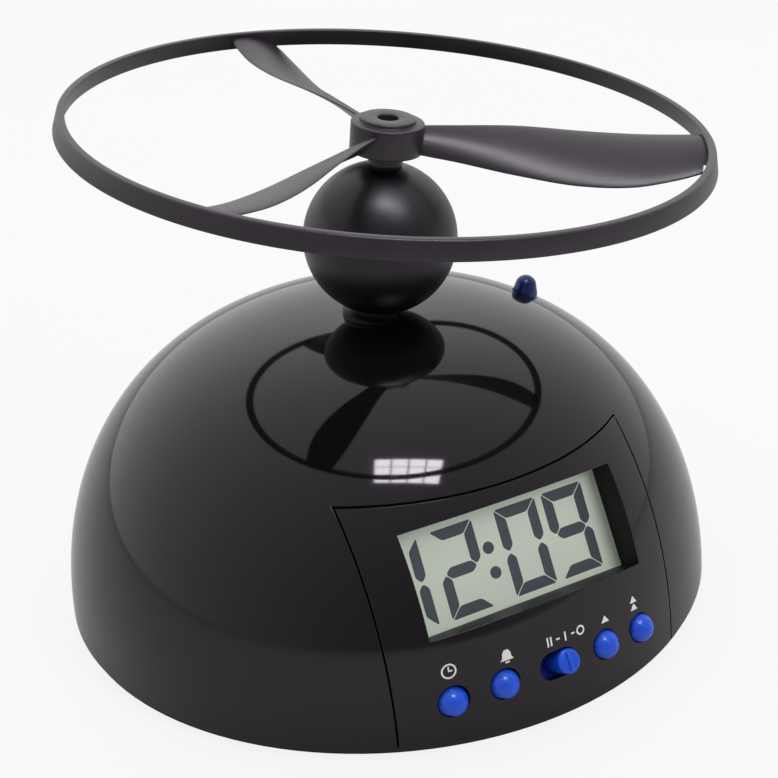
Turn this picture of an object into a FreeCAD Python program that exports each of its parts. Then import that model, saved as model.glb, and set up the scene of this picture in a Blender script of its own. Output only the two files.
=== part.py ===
import FreeCAD, Part
import math
import os

V = FreeCAD.Vector

# Runaway alarm clock: a glossy dome with a sloping display, and a ringed rotor on a ball-topped
# spindle that a geared motor spins up until the rotor lifts off. Millimetres, +Z up, front is -Y,
# origin on the table under the middle of the dome.

# Overall body
foot_proud = 1.0
dome_radius = 66.0
dome_height = 59.0
dome_side_power = 2.08
dome_crown_power = 2.56
dome_wall = 2.2
rim_height = 1.2
rim_inset = 0.6
seam_gap = 0.35
fit_clearance = 0.2
slide_clearance = 0.3
shaft_clearance = 0.05

# How far a cutter runs past a face, and how deep a piece of a solid sinks into the next before they join
overcut = 1.0
weld = 0.1
deep_weld = 0.5
sliver = 0.02

# Front fascia and display, in a frame that slopes back with the display and starts behind the dome's front
face_start = 66.0
fascia_half_width = 30.2
fascia_top = 43.1
fascia_lip = 2.5
fascia_lip_depth = 1.3
fascia_lip_width = 3.0
display_slope = 29.0
window_width = 45.0
window_height = 19.5
window_middle = 0.45
window_corner_depth = 62.0
window_recess = 6.2
tunnel_wall = 1.4
glass_thickness = 2.2
glass_margin = 1.9
glass_ledge = 1.2
frame_margin = 0.6
frame_rail = 4.0
frame_web = 1.2
strip_lap = 0.6
strip_inset = 0.4
strip_end = 2.0
board_thickness = 1.6
board_gap = 3.6
board_half_width = 29.0
board_low = -23.2
board_high = 14.5
board_post_radius = 1.9
board_post_x = 27.2
board_post_low = -13.5
board_post_high = 11.8
screw_radius = 0.95
screw_head_radius = 1.8
screw_head_height = 1.2
screw_head_recess = 0.3
screw_bite = 3.5
base_screw_bite = 9.0

# Controls
key_row = -20.9
key_inner_x = 10.8
key_outer_x = 20.25
key_radius = 2.6
key_clearance = 0.2
key_proud = 0.4
key_dome = 1.8
key_flange_radius = 3.2
key_flange_thickness = 0.8
key_travel = 0.5
switch_side = 4.5
switch_height = 3.0
plunger_radius = 1.2
plunger_height = 0.3
knob_radius = 2.3
knob_travel = 3.0
knob_proud = 1.6
knob_round = 0.7
knob_ridge = 0.35
knob_ridge_share = 0.7
knob_curtain_thickness = 0.8
knob_curtain_depth = 57.3
knob_curtain_lap = 0.6
knob_stem_half_x = 1.2
knob_stem_half_y = 0.7
knob_stem_bite = 1.0
slide_switch_length = 9.0
slide_switch_width = 4.4
slide_switch_height = 3.4
slide_slot_end = 1.6
slide_slot_half = 0.9
slide_slot_depth = 1.2
launch_key_x = 37.0
launch_key_lean = 10.0
launch_key_height = 3.9
launch_key_tip_radius = 2.0
launch_key_taper = 2.3
launch_board_drop = 8.6
launch_board_length = 13.0
launch_board_width = 9.0
launch_post_radius = 1.4
launch_post_inset = 1.6

# Base, feet and battery bay
base_floor = 2.0
spigot_height = 2.6
spigot_wall = 1.4
foot_radius = 4.0
foot_depth = 0.6
foot_round = 0.5
foot_inset = 12.0
foot_angles = (20, 160, 225, 315)
boss_inset = 10.0
boss_radius = 3.0
boss_root = 0.6
boss_angles = (42, 138, 200, 340)
cell_radius = 5.25
cell_length = 43.5
cell_cap_radius = 1.9
cell_cap_height = 1.0
cell_count = 4
cell_pitch = 11.0
bay_middle_y = 17.0
bay_wall = 1.2
bay_side_room = 0.4
contact_thickness = 0.4
contact_room = 3.4
contact_half_side = 4.0
contact_spring_radius = 1.6
contact_gap = 0.1
door_thickness = 1.4
grip_radius = 5.0
grip_depth = 0.5
grip_inset = 9.0
hinge_radius = 0.8
hinge_barrel = 1.3
hinge_length = 5.0
hinge_notch = 0.8
ear_thickness = 1.6
buzzer_radius = 11.0
buzzer_height = 3.2
buzzer_lid = 1.0
buzzer_rim = 2.5
buzzer_wall = 1.4
buzzer_seat = 1.6
buzzer_bay_gap = 4.4
buzzer_y = 2.0
sound_hole_radius = 0.9
sound_hole_circle = 5.0
sound_hole_count = 6

# Launcher, in a frame that starts on the crown of the dome and leans with the spindle
lean_angle = 7.5
lean_heading = -38.0
launcher_y = -3.4
neck_radius = 4.5
neck_flare_radius = 6.4
neck_flare_height = 0.45
neck_flange_depth = 2.0
neck_in_ball = 4.0
ball_radius = 14.9
ball_middle = 15.6
ball_wall = 2.0
ball_tube_radius = 7.0
spindle_radius = 1.5
spindle_room = 0.6
spindle_tail = 0.8
bush_radius = 3.0
bush_flange_radius = 4.2
bush_flange = 0.6
ball_bush_length = 3.0
upper_plate = -11.0
plate_thickness = 1.5
plate_gap = 8.0
plate_radius = 24.0
plate_x = -2.0
plate_y = 7.0
post_circle = 20.5
post_radius = 2.0
post_angles = (60, 180, 300)
plate_boss_radius = 2.6
plate_boss_angles = (0, 120, 240)
gear_module = 0.5
gear_pressure_angle = 20.0
gear_addendum = 0.9
gear_dedendum = 1.2
gear_backlash = 0.08
mesh_ease = 0.05
spindle_teeth = 40
idler_small_teeth = 12
idler_large_teeth = 36
pinion_teeth = 10
gear_width = 3.0
gear_step = 0.4
gear_floor_gap = 1.0
gear_hub_wall = 1.7
gear_hub_height = 1.4
idler_heading = 90.0
pinion_heading = 150.0
idler_pin_radius = 0.75
motor_radius = 8.0
motor_flat = 6.5
motor_length = 20.0
motor_shaft_radius = 0.75
motor_nose_radius = 2.6
motor_nose = 1.05
motor_tail = 1.2

# Rotor
dog_radius = 3.3
dog_gap = 0.35
dog_height = 2.3
drive_flats = 5.0
drive_nose = 3.3
drive_cap = 1.0
drive_room = 0.3
hub_radius = 6.95
hub_height = 5.6
hub_cap_radius = 5.3
hub_cap_height = 0.8
hub_hole_radius = 1.95
ring_middle = 38.0
ring_top_radius = 60.65
ring_flare = 0.8
ring_wall = 1.6
ring_height = 3.5
blade_count = 3
blade_heading = -31.0
blade_thickness = 1.3
blade_edge = 0.5
blade_camber = 0.07
blade_in_hub = 0.95
blade_in_ring = 0.75


# Frames

def place(shape, spot, turn):
    """Moves a shape that was drawn at the origin into one of the part's sloping frames."""
    out = shape.copy()
    out.Placement = FreeCAD.Placement(spot, turn).multiply(shape.Placement)
    return out


face_turn = FreeCAD.Rotation(V(1, 0, 0), 90.0 - display_slope)
face_origin = V(0, face_start - dome_radius, 0)
crown = V(0, launcher_y, foot_proud + dome_height)
lean_way = math.radians(lean_heading)
lean_turn = FreeCAD.Rotation(V(-math.sin(lean_way), math.cos(lean_way), 0), lean_angle)


def on_face(shape):
    return place(shape, face_origin, face_turn)


def on_launcher(shape):
    return place(shape, crown, lean_turn)


def cylinder(radius, low, high, x=0.0, y=0.0):
    return Part.makeCylinder(radius, high - low, V(x, y, low))


def block(x0, x1, y0, y1, z0, z1):
    return Part.makeBox(x1 - x0, y1 - y0, z1 - z0, V(x0, y0, z0))


def polar(radius, degrees, x=0.0, y=0.0):
    turn = math.radians(degrees)
    return x + radius * math.cos(turn), y + radius * math.sin(turn)


def joined(shapes):
    """Fuses shapes that touch into one solid."""
    out = shapes[0].fuse(shapes[1:]) if len(shapes) > 1 else shapes[0]
    return out.removeSplitter()


def group(shapes):
    """Keeps like pieces that don't touch together in one node."""
    return Part.makeCompound([s for shape in shapes for s in shape.Solids])


def save(name, shape):
    """Writes one piece to its own file."""
    solids = shape.Solids
    shape = solids[0] if len(solids) == 1 else Part.makeCompound(solids)
    print("%-18s solids %d  volume %9.1f  valid %s" % (name, len(solids), shape.Volume, shape.isValid()))
    shape.exportStep("parts/%s.step" % name)


# Dome surface: a superellipse turned about Z

def dome_point(turn, inset):
    """A point of the dome's outline, where turn runs from 0 at the rim to a quarter turn at the crown."""
    radius = (dome_radius - inset) * math.cos(turn) ** (2.0 / dome_crown_power)
    height = (dome_height - inset) * math.sin(turn) ** (2.0 / dome_side_power)
    return V(radius, 0, foot_proud + height)


def dome_solid(inset):
    """The whole dome, solid, shrunk by an inset."""
    steps = 12
    points = [dome_point(math.pi / 2 * i / steps, inset) for i in range(steps)]
    points.append(V(0, 0, foot_proud + dome_height - inset))
    curve = Part.BSplineCurve()
    curve.interpolate(Points=points, InitialTangent=V(0, 0, 1), FinalTangent=V(-1, 0, 0))
    foot = V(0, 0, foot_proud)
    lines = [curve.toShape(), Part.makeLine(points[-1], foot), Part.makeLine(foot, points[0])]
    return Part.Face(Part.Wire(lines)).revolve(V(0, 0, 0), V(0, 0, 1), 360)


def dome_radius_at(height):
    share = min(max((height - foot_proud) / dome_height, 0.0), 1.0)
    return dome_radius * (1.0 - share ** dome_side_power) ** (1.0 / dome_crown_power)


def face_depth(x, row):
    """How far out along the display's normal the dome's skin lies, at a place on the sloping face."""
    low, high = 0.0, 2 * dome_radius
    for _ in range(50):
        middle = (low + high) / 2
        spot = face_origin + face_turn.multVec(V(x, row, middle))
        inside = spot.z <= foot_proud + dome_height and math.hypot(spot.x, spot.y) < dome_radius_at(spot.z)
        low, high = (middle, high) if inside else (low, middle)
    return low


outer = dome_solid(0.0)
inner = dome_solid(dome_wall)
shell = outer.cut(inner)
rim_top = foot_proud + rim_height


def fascia_zone(grow):
    """The block of space that the fascia takes out of the dome, grown by a margin on its three seams."""
    half = fascia_half_width + grow
    return block(-half, half, -2 * dome_radius, -0.3 * dome_radius, -foot_proud, fascia_top + grow)


# Display and control positions, along the sloping face's normal
glass_front = window_corner_depth - window_recess
glass_back = glass_front - glass_thickness
board_front = glass_back - board_gap
board_back = board_front - board_thickness
window_low = window_middle - window_height / 2
window_high = window_middle + window_height / 2
board_posts = [(x, row) for x in (-board_post_x, board_post_x) for row in (board_post_low, board_post_high)]
keys = {"time": -key_outer_x, "alarm": -key_inner_x, "hour": key_inner_x, "minute": key_outer_x}
key_seat = board_front + switch_height + plunger_height + key_travel + shaft_clearance
slot_half = knob_travel / 2 + knob_radius + key_clearance

# Launch button: a leaning axis on the right-hand side of the dome
launch_turn = FreeCAD.Rotation(V(0, 1, 0), launch_key_lean)


def skin_height(radius):
    share = (radius / dome_radius) ** dome_crown_power
    return foot_proud + dome_height * (1.0 - share) ** (1.0 / dome_side_power)


launch_spot = V(launch_key_x, 0, skin_height(launch_key_x))
launch_board_top = -launch_board_drop
launch_seat = launch_board_top + switch_height + plunger_height + key_travel + shaft_clearance


def on_launch(shape):
    return place(shape, launch_spot, launch_turn)


# Launcher heights, measured along the spindle from the crown
lower_plate = upper_plate - plate_thickness - plate_gap
idler_distance = gear_module * (spindle_teeth + idler_small_teeth) / 2 + mesh_ease
pinion_distance = gear_module * (idler_large_teeth + pinion_teeth) / 2 + mesh_ease
idler_x, idler_y = polar(idler_distance, idler_heading)
pinion_x, pinion_y = polar(pinion_distance, pinion_heading, idler_x, idler_y)
plate_bosses = [polar(post_circle, a, plate_x, plate_y) for a in plate_boss_angles]
plate_posts = [polar(post_circle, a, plate_x, plate_y) for a in post_angles]
gear_low = lower_plate + gear_floor_gap
ball_top = ball_middle + ball_radius
ball_bush_low = ball_top - ball_bush_length - slide_clearance
dog_low = ball_top + dog_gap
hub_low = dog_low + dog_height + shaft_clearance


def base_boss_spots():
    return [polar(dome_radius - boss_inset, a) for a in boss_angles]


# Dome housing: glossy moulded shell with the fascia opening, screw bosses inside and the crown hole

def make_dome_housing():
    body = shell.cut(block(-dome_radius, dome_radius, -dome_radius, dome_radius, 0, rim_top))
    body = body.cut(fascia_zone(seam_gap / 2))
    inside = dome_solid(dome_wall * boss_root)
    bosses = [cylinder(boss_radius, rim_top + spigot_height, dome_height, x, y) for x, y in base_boss_spots()]
    bosses += [on_launcher(cylinder(plate_boss_radius, upper_plate, 0, x, y)) for x, y in plate_bosses]
    body = joined([body] + [boss.common(inside) for boss in bosses])
    side = launch_board_length / 2 - launch_post_inset
    posts = [on_launch(cylinder(launch_post_radius, launch_board_top, launch_board_drop, 0, y))
             for y in (-side, side)]
    body = joined([body] + [post.common(inside) for post in posts])
    for x, y in base_boss_spots():
        body = body.cut(cylinder(screw_radius, 0, rim_top + base_screw_bite, x, y))
    for x, y in plate_bosses:
        hole = cylinder(screw_radius, upper_plate - overcut, upper_plate + screw_bite, x, y)
        body = body.cut(on_launcher(hole))
    body = body.cut(on_launcher(cylinder(neck_radius + fit_clearance, upper_plate, ball_middle)))
    return body.cut(on_launch(cylinder(key_radius + key_clearance, -3 * dome_wall, dome_wall * 2)))


# Front fascia: the same dome skin, with a lip behind its seams, the display tunnel and the key holes

def make_front_fascia():
    panel = shell.common(fascia_zone(-seam_gap / 2))
    ring = fascia_zone(-seam_gap / 2).cut(fascia_zone(-fascia_lip_width))
    lip_zone = fascia_zone(fascia_lip).cut(fascia_zone(-fascia_lip_width))
    web = dome_solid(dome_wall - deep_weld).cut(dome_solid(dome_wall + fascia_lip_depth)).common(ring)
    lip = dome_solid(dome_wall + shaft_clearance).cut(dome_solid(dome_wall + fascia_lip_depth)).common(lip_zone)
    half = window_width / 2
    tunnel = on_face(block(-half - tunnel_wall, half + tunnel_wall, window_low - tunnel_wall,
                           window_high + tunnel_wall, glass_front, 2 * dome_radius)).common(outer)
    under_skin = dome_solid(deep_weld)
    posts = [on_face(cylinder(board_post_radius, board_front, 2 * dome_radius, x, row)).common(under_skin)
             for x, row in board_posts]
    body = joined([panel, web, lip, tunnel] + posts)
    body = body.cut(block(-dome_radius, dome_radius, -dome_radius, 0, 0, rim_top + seam_gap / 2))
    spigot_zone = cylinder(dome_radius - dome_wall - sliver, 0, rim_top + spigot_height + fit_clearance)
    body = body.cut(spigot_zone)
    body = body.cut(on_face(block(-half, half, window_low, window_high, 0, 2 * dome_radius)))
    for x in keys.values():
        body = body.cut(on_face(cylinder(key_radius + key_clearance, board_front, 2 * dome_radius, x, key_row)))
    slot = [cylinder(knob_radius + key_clearance, board_front, 2 * dome_radius, side * knob_travel / 2, key_row)
            for side in (-1, 1)]
    wide = knob_radius + key_clearance
    slot.append(block(-knob_travel / 2, knob_travel / 2, key_row - wide, key_row + wide, board_front,
                      2 * dome_radius))
    body = body.cut(on_face(joined(slot)))
    for x, row in board_posts:
        hole = cylinder(screw_radius, board_front - overcut, board_front + screw_bite, x, row)
        body = body.cut(on_face(hole))
    return body


# Display glass, its carrier frame, the contact strip and the circuit board behind it

def make_lcd_glass():
    half = window_width / 2 + glass_margin
    back = block(-half, half, window_low - glass_margin, window_high + glass_margin, glass_back,
                 glass_back + glass_thickness / 2)
    front = block(-half, half, window_low - glass_margin, window_high + glass_margin - glass_ledge,
                  glass_back + glass_thickness / 2, glass_front)
    return on_face(joined([back, front]))


strip_low = window_high - strip_lap
strip_high = window_high + glass_margin - strip_inset
spigot_inside = dome_radius - dome_wall - fit_clearance - spigot_wall


def make_lcd_frame():
    half = window_width / 2 + glass_margin + fit_clearance
    low = window_low - glass_margin - fit_clearance
    high = window_high + glass_margin + fit_clearance
    rim = glass_back + glass_thickness / 2
    body = block(-half - frame_margin, half + frame_margin, low - frame_margin, high + frame_margin,
                 board_front, rim)
    body = body.cut(block(-half, half, low, high, glass_back, rim + overcut))
    body = body.cut(block(frame_rail - half, half - frame_rail, low + frame_rail, strip_low - frame_web,
                          board_front - overcut, rim))
    reach = half - strip_end + fit_clearance
    body = body.cut(block(-reach, reach, strip_low - fit_clearance, strip_high + fit_clearance,
                          board_front - overcut, rim))
    return on_face(body)


def make_contact_strip():
    half = window_width / 2 + glass_margin - strip_end
    return on_face(block(-half, half, strip_low, strip_high, board_front, glass_back))


def make_main_board():
    body = block(-board_half_width, board_half_width, board_low, board_high, board_back, board_front)
    for x, row in board_posts:
        hole = cylinder(screw_radius + fit_clearance, board_back - overcut, board_front + overcut, x, row)
        body = body.cut(hole)
    return on_face(body).common(cylinder(spigot_inside, 0, dome_height))


def tact_switch(x, y, low):
    half = switch_side / 2
    body = block(x - half, x + half, y - half, y + half, low, low + switch_height)
    top = low + switch_height
    return joined([body, cylinder(plunger_radius, top, top + plunger_height, x, y)])


def make_key_switches():
    return group([on_face(tact_switch(x, key_row, board_front)) for x in keys.values()])


def make_slide_switch():
    half = slide_switch_length / 2
    wide = slide_switch_width / 2
    body = block(-half, half, key_row - wide, key_row + wide, board_front, board_front + slide_switch_height)
    top = board_front + slide_switch_height
    slot = block(slide_slot_end - half, half - slide_slot_end, key_row - slide_slot_half,
                 key_row + slide_slot_half, top - slide_slot_depth, top)
    return on_face(body.cut(slot))


def screw(x, y, seat, tip):
    """A pan-head screw whose head lies under the seat and whose shank runs up to the tip."""
    head = cylinder(screw_head_radius, seat - screw_head_height, seat, x, y)
    return joined([head, cylinder(screw_radius, seat - screw_head_height / 2, tip, x, y)])


def make_board_screws():
    tip = board_front + screw_bite - fit_clearance
    return group([on_face(screw(x, row, board_back, tip)) for x, row in board_posts])


# Push buttons: a domed cap on a stem, with a flange that is trapped behind the fascia

def domed_cap(radius, shoulder, rise):
    """The rounded end of a button: the part of a ball that a cylinder of its radius holds."""
    ball = (radius * radius + rise * rise) / (2 * rise)
    whole = Part.makeSphere(ball, V(0, 0, shoulder + rise - ball))
    return whole.common(cylinder(radius, shoulder, shoulder + rise + overcut))


def flanged_stem(low, high):
    flange = cylinder(key_flange_radius, low, low + key_flange_thickness)
    return flange.fuse(cylinder(key_radius, low, high))


def make_key(x):
    shoulder = face_depth(x, key_row) + key_proud
    cap = joined([flanged_stem(key_seat, shoulder), domed_cap(key_radius, shoulder, key_dome)])
    cap.translate(V(x, key_row, 0))
    return on_face(cap)


# Mode knob: a round finger pad on a curtain plate that hides the slot, with a stem down to the switch

def make_mode_knob():
    x = knob_travel / 2
    top = face_depth(0, key_row) + knob_proud
    pad = cylinder(knob_radius, knob_curtain_depth, top, x, key_row)
    pad = pad.makeFillet(knob_round, [e for e in pad.Edges if e.BoundBox.ZMin > top - sliver])
    reach = knob_radius * knob_ridge_share
    ridge = block(x - knob_ridge, x + knob_ridge, key_row - reach, key_row + reach, top - knob_round - weld,
                  top + knob_ridge)
    half = slot_half + knob_travel / 2 + fit_clearance
    wide = knob_radius + knob_curtain_lap
    curtain = block(x - half, x + half, key_row - wide, key_row + wide, knob_curtain_depth,
                    knob_curtain_depth + knob_curtain_thickness)
    stem = block(x - knob_stem_half_x, x + knob_stem_half_x, key_row - knob_stem_half_y,
                 key_row + knob_stem_half_y, board_front + slide_switch_height - knob_stem_bite,
                 knob_curtain_depth + weld)
    return on_face(joined([pad, ridge, curtain, stem]))


# Launch button on the side of the crown, with its own little board and switch

def make_launch_key():
    taper = Part.makeCone(key_radius, launch_key_tip_radius, launch_key_taper, V(0, 0, key_proud))
    shoulder = key_proud + launch_key_taper
    tip = domed_cap(launch_key_tip_radius, shoulder, launch_key_height - shoulder)
    return on_launch(joined([flanged_stem(launch_seat, key_proud), taper, tip]))


def make_launch_board():
    wide = launch_board_width / 2
    half = launch_board_length / 2
    plate = block(-wide, wide, -half, half, launch_board_top - board_thickness, launch_board_top)
    return on_launch(plate)


def make_launch_switch():
    return on_launch(tact_switch(0, 0, launch_board_top))


# Base cover: floor with a rim that shows as a thin dark line, a locating spigot and the battery bay

bay_half_x = cell_pitch * cell_count / 2 + bay_side_room
bay_half_y = cell_length / 2 + contact_room
bay_floor = foot_proud + door_thickness + slide_clearance
bay_roof = bay_floor + 2 * cell_radius + fit_clearance
door_half_x = bay_half_x - slide_clearance
hinge_y = bay_middle_y + bay_half_y - hinge_barrel - slide_clearance
hinge_z = foot_proud + hinge_barrel
base_screw_seat = foot_proud + screw_head_height + screw_head_recess
hinge_spots = [-bay_half_x / 2, bay_half_x / 2]
buzzer_x = -(bay_half_x + bay_wall + buzzer_bay_gap + buzzer_radius)
foot_spots = [polar(dome_radius - foot_inset, a) for a in foot_angles]


def make_base_cover():
    rim = cylinder(dome_radius - rim_inset, foot_proud, rim_top)
    outside = spigot_inside + spigot_wall
    floor = cylinder(outside, foot_proud, foot_proud + base_floor)
    spigot = cylinder(outside, foot_proud, rim_top + spigot_height)
    spigot = spigot.cut(cylinder(spigot_inside, 0, rim_top + spigot_height + overcut))
    middle = bay_middle_y
    well = block(-bay_half_x - bay_wall, bay_half_x + bay_wall, middle - bay_half_y - bay_wall,
                 middle + bay_half_y + bay_wall, foot_proud, bay_roof + bay_wall)
    towers = [cylinder(boss_radius, foot_proud, rim_top + spigot_height, x, y) for x, y in base_boss_spots()]
    seat = cylinder(buzzer_radius + buzzer_wall, foot_proud, foot_proud + base_floor + buzzer_seat, buzzer_x,
                    buzzer_y)
    body = joined([rim, floor, spigot, well, seat] + towers)
    body = body.cut(block(-bay_half_x, bay_half_x, middle - bay_half_y, middle + bay_half_y, 0, bay_roof))
    room = cylinder(buzzer_radius + fit_clearance, foot_proud + base_floor, bay_roof, buzzer_x, buzzer_y)
    body = body.cut(room)
    for i in range(sound_hole_count):
        x, y = polar(sound_hole_circle, 360.0 * i / sound_hole_count, buzzer_x, buzzer_y)
        body = body.cut(cylinder(sound_hole_radius, 0, foot_proud + base_floor + overcut, x, y))
    for x, y in base_boss_spots():
        body = body.cut(cylinder(screw_radius + fit_clearance, 0, bay_roof, x, y))
        body = body.cut(cylinder(screw_head_radius + fit_clearance, 0, base_screw_seat, x, y))
    for x, y in foot_spots:
        body = body.cut(cylinder(foot_radius + fit_clearance, 0, foot_proud + foot_depth, x, y))
    ears = []
    for x in hinge_spots:
        for side in (-1, 1):
            near = x + side * (hinge_length / 2 + slide_clearance)
            far = near + side * ear_thickness
            ears.append(block(min(near, far), max(near, far), hinge_y - ear_thickness,
                              middle + bay_half_y + weld, foot_proud + fit_clearance,
                              hinge_z + 2 * hinge_radius))
    body = joined([body] + ears)
    for x in hinge_spots:
        reach = hinge_length + 2 * (ear_thickness + slide_clearance)
        pin = Part.makeCylinder(hinge_radius + shaft_clearance, reach, V(x - reach / 2, hinge_y, hinge_z),
                                V(1, 0, 0))
        body = body.cut(pin)
    return body


def make_base_screws():
    tip = rim_top + base_screw_bite - fit_clearance
    return group([screw(x, y, base_screw_seat, tip) for x, y in base_boss_spots()])


def make_rubber_feet():
    feet = []
    for x, y in foot_spots:
        foot = cylinder(foot_radius, 0, foot_proud + foot_depth, x, y)
        feet.append(foot.makeFillet(foot_round, [e for e in foot.Edges if e.BoundBox.ZMax < sliver]))
    return group(feet)


# Battery door: a plate with two hinge barrels at the back and a catch at the front

def make_battery_door():
    low = bay_middle_y - bay_half_y + slide_clearance
    high = hinge_y - hinge_barrel - hinge_notch
    plate = block(-door_half_x, door_half_x, low, high, foot_proud, foot_proud + door_thickness)
    pieces = [plate]
    for x in hinge_spots:
        start = V(x - hinge_length / 2, hinge_y, hinge_z)
        pieces.append(Part.makeCylinder(hinge_barrel, hinge_length, start, V(1, 0, 0)))
        arm = block(x - hinge_length / 2, x + hinge_length / 2, high - overcut, hinge_y, foot_proud,
                    foot_proud + door_thickness)
        pieces.append(arm)
        pin = Part.makeCylinder(hinge_radius, hinge_length + 2 * ear_thickness, start - V(ear_thickness, 0, 0),
                                V(1, 0, 0))
        pieces.append(pin)
    body = joined(pieces)
    grip = cylinder(grip_radius, foot_proud - overcut, foot_proud + grip_depth, 0, low + grip_inset)
    return body.cut(grip)


def cell_spots():
    return [(i - (cell_count - 1) / 2) * cell_pitch for i in range(cell_count)]


def make_battery_cells():
    cells = []
    middle_z = bay_floor + cell_radius + fit_clearance / 2
    for i, x in enumerate(cell_spots()):
        way = 1 if i % 2 else -1
        back = V(x, bay_middle_y - way * cell_length / 2, middle_z)
        tip = V(x, bay_middle_y + way * cell_length / 2, middle_z)
        can = Part.makeCylinder(cell_radius, cell_length - cell_cap_height, back, V(0, way, 0))
        cap = Part.makeCylinder(cell_cap_radius, cell_cap_height + weld, tip, V(0, -way, 0))
        cells.append(joined([can, cap]))
    return group(cells)


def make_battery_contacts():
    plates = []
    middle_z = bay_floor + cell_radius
    for x in cell_spots():
        for side in (-1, 1):
            wall = bay_middle_y + side * bay_half_y
            tip = bay_middle_y + side * (cell_length / 2 + contact_gap)
            y0, y1 = sorted((wall, wall - side * contact_thickness))
            plate = block(x - contact_half_side, x + contact_half_side, y0, y1, middle_z - contact_half_side,
                          middle_z + contact_half_side)
            y0, y1 = sorted((tip, wall - side * contact_thickness / 2))
            spring = Part.makeCylinder(contact_spring_radius, y1 - y0, V(x, y0, middle_z), V(0, 1, 0))
            plates.append(joined([plate, spring]))
    return group(plates)


def make_buzzer():
    low = foot_proud + base_floor
    can = cylinder(buzzer_radius, low, low + buzzer_height, buzzer_x, buzzer_y)
    room = cylinder(buzzer_radius - buzzer_rim, low, low + buzzer_height - buzzer_lid, buzzer_x, buzzer_y)
    return can.cut(room)


# Launcher: neck, ball, bushes and spindle

def make_neck():
    """The neck tube with a flange that is cut to the dome's skin, placed on the launcher."""
    flange = on_launcher(cylinder(neck_flare_radius, -neck_flange_depth, neck_flare_height)).cut(outer)
    tube = on_launcher(cylinder(neck_radius, upper_plate, ball_middle - ball_radius + neck_in_ball))
    body = joined([tube, flange])
    bore = spindle_radius + spindle_room
    return body.cut(on_launcher(cylinder(bore, upper_plate - overcut, ball_middle)))


def make_ball():
    body = Part.makeSphere(ball_radius, V(0, 0, ball_middle))
    hollow = Part.makeSphere(ball_radius - ball_wall, V(0, 0, ball_middle))
    tube = cylinder(ball_tube_radius, ball_middle - ball_radius, ball_top)
    body = body.cut(hollow.cut(tube))
    body = body.cut(cylinder(neck_radius + shaft_clearance, -ball_radius, ball_middle - ball_radius + neck_in_ball))
    low = ball_middle - ball_radius + neck_flare_height
    low = max(low, neck_flare_height + shaft_clearance)
    body = body.cut(cylinder(neck_flare_radius + fit_clearance, -ball_radius, low))
    body = body.cut(cylinder(spindle_radius + spindle_room, 0, ball_top + overcut))
    return on_launcher(body.cut(cylinder(bush_radius, ball_bush_low, ball_top + overcut)))


def plain_bush(low, high):
    bore = cylinder(spindle_radius + shaft_clearance, low - overcut, high + overcut)
    return cylinder(bush_radius, low, high).cut(bore)


def plate_bush(top):
    """A bush that fills its plate's hole, with a flange under the plate."""
    under = top - plate_thickness
    flange = cylinder(bush_flange_radius, under - bush_flange, under)
    flange = flange.cut(cylinder(spindle_radius + shaft_clearance, under - bush_flange - overcut, top))
    return joined([plain_bush(under - bush_flange, top), flange])


def make_bushes():
    bushes = [plain_bush(ball_bush_low, ball_bush_low + ball_bush_length), plate_bush(lower_plate),
              plate_bush(upper_plate)]
    return group([on_launcher(bush) for bush in bushes])


def plate(low, holes):
    body = cylinder(plate_radius, low, low + plate_thickness, plate_x, plate_y)
    through = (low - overcut, low + plate_thickness + overcut)
    body = body.cut(cylinder(bush_radius, *through))
    for x, y, radius in holes:
        body = body.cut(cylinder(radius, *through, x, y))
    return body


def make_upper_plate():
    holes = [(x, y, screw_radius + fit_clearance) for x, y in plate_bosses]
    holes.append((idler_x, idler_y, idler_pin_radius))
    return on_launcher(plate(upper_plate - plate_thickness, holes))


def make_lower_plate():
    holes = [(idler_x, idler_y, idler_pin_radius), (pinion_x, pinion_y, motor_nose_radius + fit_clearance)]
    low = lower_plate - plate_thickness
    top = upper_plate - plate_thickness
    posts = [cylinder(post_radius, lower_plate - weld, top, x, y) for x, y in plate_posts]
    return on_launcher(joined([plate(low, holes)] + posts))


def make_launcher_screws():
    seat = upper_plate - plate_thickness
    tip = upper_plate + screw_bite - fit_clearance
    return group([on_launcher(screw(x, y, seat, tip)) for x, y in plate_bosses])


def make_idler_pin():
    low = lower_plate - plate_thickness
    return on_launcher(cylinder(idler_pin_radius, low, upper_plate, idler_x, idler_y))


def make_motor():
    top = lower_plate - plate_thickness
    body = cylinder(motor_radius, top - motor_length, top, pinion_x, pinion_y)
    keep = block(pinion_x - motor_radius, pinion_x + motor_radius, pinion_y - motor_flat, pinion_y + motor_flat,
                 top - motor_length, top)
    nose = cylinder(motor_nose_radius, top - weld, top + motor_nose, pinion_x, pinion_y)
    tail = cylinder(motor_nose_radius, top - motor_length - motor_tail, top - motor_length, pinion_x, pinion_y)
    body = joined([body.common(keep), nose, tail])
    return on_launcher(body.cut(cylinder(motor_shaft_radius + shaft_clearance, top - motor_length / 2,
                                         top + 2 * plate_thickness, pinion_x, pinion_y)))


# Gears: involute flanks worked out from the module and the tooth count

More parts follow.
